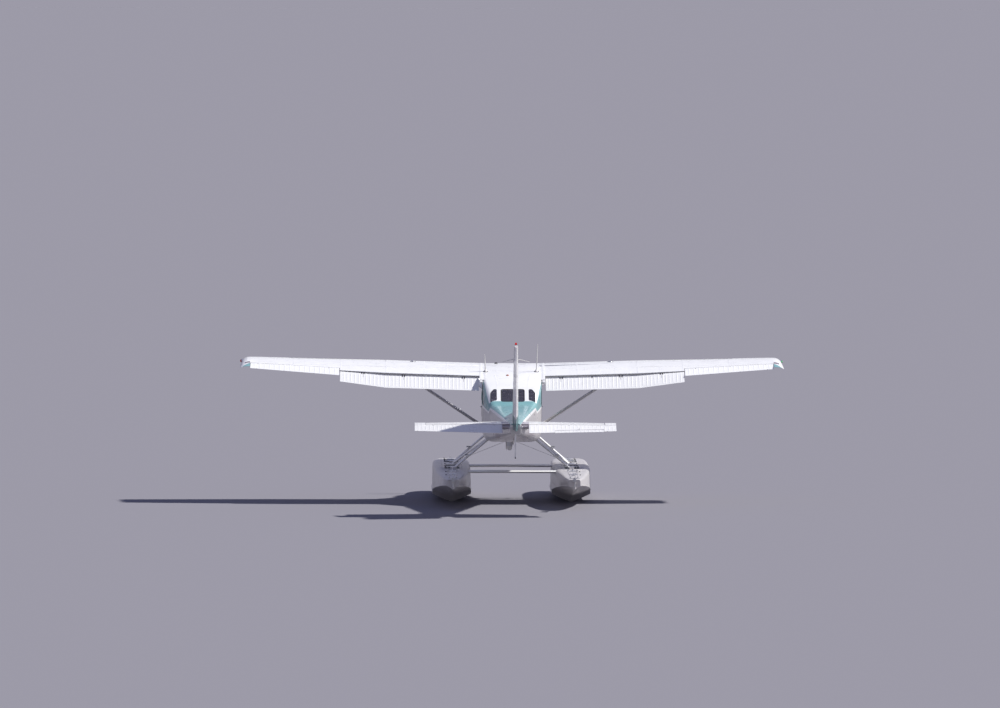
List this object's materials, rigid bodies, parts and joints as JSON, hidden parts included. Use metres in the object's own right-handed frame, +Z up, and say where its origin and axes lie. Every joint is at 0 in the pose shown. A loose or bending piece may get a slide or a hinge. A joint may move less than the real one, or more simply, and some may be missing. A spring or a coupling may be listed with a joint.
{
  "type": "floatplane",
  "caption": "High-wing single-engine cabin floatplane on twin floats, with moving propeller, flaps, control surfaces, water rudders and doors.",
  "frame": {"origin": "under the middle of the whole aircraft, at the level of the keels", "axes": "+X to the port wing tip, +Y toward the tail, +Z up; the floats are level and the airframe is pitched 2 degrees nose up"},
  "size_m": [10.98, 9.5196, 3.4388],
  "materials": {
    "white_paint": "gloss paint",
    "teal_paint": "gloss paint",
    "glazing": "clear acrylic",
    "steel": "satin",
    "propeller_metal": "satin bare metal",
    "panel_plastic": "matt",
    "beacon_lens": "gloss lens",
    "seat_fabric": "woven fabric"
  },
  "bodies": {
    "airframe": {"cabin_shell": "white_paint", "engine_cowl": "white_paint", "stabilizer": "white_paint", "fin": "white_paint", "ventral_fin": "white_paint", "spreader_front": "white_paint", "spreader_rear": "white_paint", "wing_left": "white_paint", "wing_right": "white_paint", "wing_strut_left": "white_paint", "wing_strut_right": "white_paint", "float_left": "white_paint", "float_right": "white_paint", "gear_strut_front_left": "white_paint", "gear_strut_front_right": "white_paint", "gear_strut_rear_left": "white_paint", "gear_strut_rear_right": "white_paint", "gear_strut_diagonal_left": "white_paint", "gear_strut_diagonal_right": "white_paint", "tailcone": "teal_paint", "wingtip_left": "teal_paint", "wingtip_right": "teal_paint", "windshield": "glazing", "window_back": "glazing", "window_quarter_left": "glazing", "window_quarter_right": "glazing", "window_mid_left": "glazing", "window_mid_right": "glazing", "window_rear_left": "glazing", "window_rear_right": "glazing", "engine": "steel", "instrument_panel": "panel_plastic", "beacon": "beacon_lens", "seat_pilot": "seat_fabric", "seat_copilot": "seat_fabric", "seat_mid_left": "seat_fabric", "seat_mid_right": "seat_fabric", "seat_rear_bench": "seat_fabric"},
    "propeller": {"propeller": "propeller_metal", "spinner": "white_paint"},
    "door_left": {"door_left": "white_paint", "door_window_left": "glazing"},
    "door_right": {"door_right": "white_paint", "door_window_right": "glazing"},
    "flap_left": {"flap_left": "white_paint"},
    "flap_right": {"flap_right": "white_paint"},
    "aileron_left": {"aileron_left": "white_paint"},
    "aileron_right": {"aileron_right": "white_paint"},
    "elevator": {"elevator": "white_paint"},
    "trim_tab": {"trim_tab": "white_paint"},
    "rudder": {"rudder": "white_paint"},
    "water_rudder_left": {"water_rudder_post_left": "steel"},
    "water_rudder_right": {"water_rudder_post_right": "steel"},
    "water_blade_left": {"water_rudder_blade_left": "steel"},
    "water_blade_right": {"water_rudder_blade_right": "steel"}
  },
  "joints": [
    {"name": "propeller_spin", "type": "hinge", "parent": "airframe", "child": "propeller", "pos_m": [0, -3.73533, 1.9285], "axis": [0, -0.9994, 0.0349], "continuous": true},
    {"name": "door_left_swing", "type": "hinge", "parent": "airframe", "child": "door_left", "pos_m": [0.5928, -2.01518, 1.78838], "axis": [0, -0.0349, -0.9994], "range_deg": [0, 62]},
    {"name": "door_right_swing", "type": "hinge", "parent": "airframe", "child": "door_right", "pos_m": [-0.5928, -2.01518, 1.78838], "axis": [0, 0.0349, 0.9994], "range_deg": [0, 62]},
    {"name": "flap_left_swing", "type": "hinge", "parent": "airframe", "child": "flap_left", "pos_m": [0.66, -0.62767, 2.32904], "axis": [-0.9995, -0.0011, -0.0302], "range_deg": [-30, 10]},
    {"name": "flap_right_swing", "type": "hinge", "parent": "airframe", "child": "flap_right", "pos_m": [-0.66, -0.62767, 2.32904], "axis": [-0.9995, 0.0011, 0.0302], "range_deg": [-30, 10]},
    {"name": "aileron_left_swing", "type": "hinge", "parent": "airframe", "child": "aileron_left", "pos_m": [3.475, -0.6349, 2.68761], "axis": [-0.9944, 0.0893, -0.0564], "range_deg": [-31, 4.5]},
    {"name": "aileron_right_swing", "type": "hinge", "parent": "airframe", "child": "aileron_right", "pos_m": [-3.475, -0.6349, 2.68761], "axis": [-0.9944, -0.0893, 0.0564], "range_deg": [-31, 4.5]},
    {"name": "elevator_swing", "type": "hinge", "parent": "airframe", "child": "elevator", "pos_m": [0, 3.75377, 1.77204], "axis": [-1, 0, 0], "range_deg": [-34, 4]},
    {"name": "trim_tab_swing", "type": "hinge", "parent": "elevator", "child": "trim_tab", "pos_m": [-0.77, 4.03067, 1.69785], "axis": [-0.9971, -0.073, 0.0196], "range_deg": [-25, 5]},
    {"name": "rudder_swing", "type": "hinge", "parent": "airframe", "child": "rudder", "pos_m": [0, 3.94373, 1.71037], "axis": [0, 0.2749, 0.9615], "range_deg": [-24, 24]},
    {"name": "water_rudder_left_steer", "type": "hinge", "parent": "airframe", "child": "water_rudder_left", "pos_m": [1.21, 1.89517, 0.452], "axis": [0, 0, 1], "range_deg": [-30, 30]},
    {"name": "water_rudder_right_steer", "type": "hinge", "parent": "airframe", "child": "water_rudder_right", "pos_m": [-1.21, 1.89517, 0.452], "axis": [0, 0, 1], "range_deg": [-30, 30]},
    {"name": "water_rudder_left_drop", "type": "hinge", "parent": "water_rudder_left", "child": "water_blade_left", "pos_m": [1.21, 1.96417, 0.612], "axis": [-1, 0, 0], "range_deg": [0, 90]},
    {"name": "water_rudder_right_drop", "type": "hinge", "parent": "water_rudder_right", "child": "water_blade_right", "pos_m": [-1.21, 1.96417, 0.612], "axis": [-1, 0, 0], "range_deg": [0, 90]}
  ],
  "couplings": [
    {"joint": "flap_right_swing", "follows": "flap_left_swing", "ratio": 1},
    {"joint": "water_rudder_left_steer", "follows": "rudder_swing", "ratio": 1.25},
    {"joint": "water_rudder_right_steer", "follows": "rudder_swing", "ratio": 1.25},
    {"joint": "water_rudder_right_drop", "follows": "water_rudder_left_drop", "ratio": 1}
  ]
}
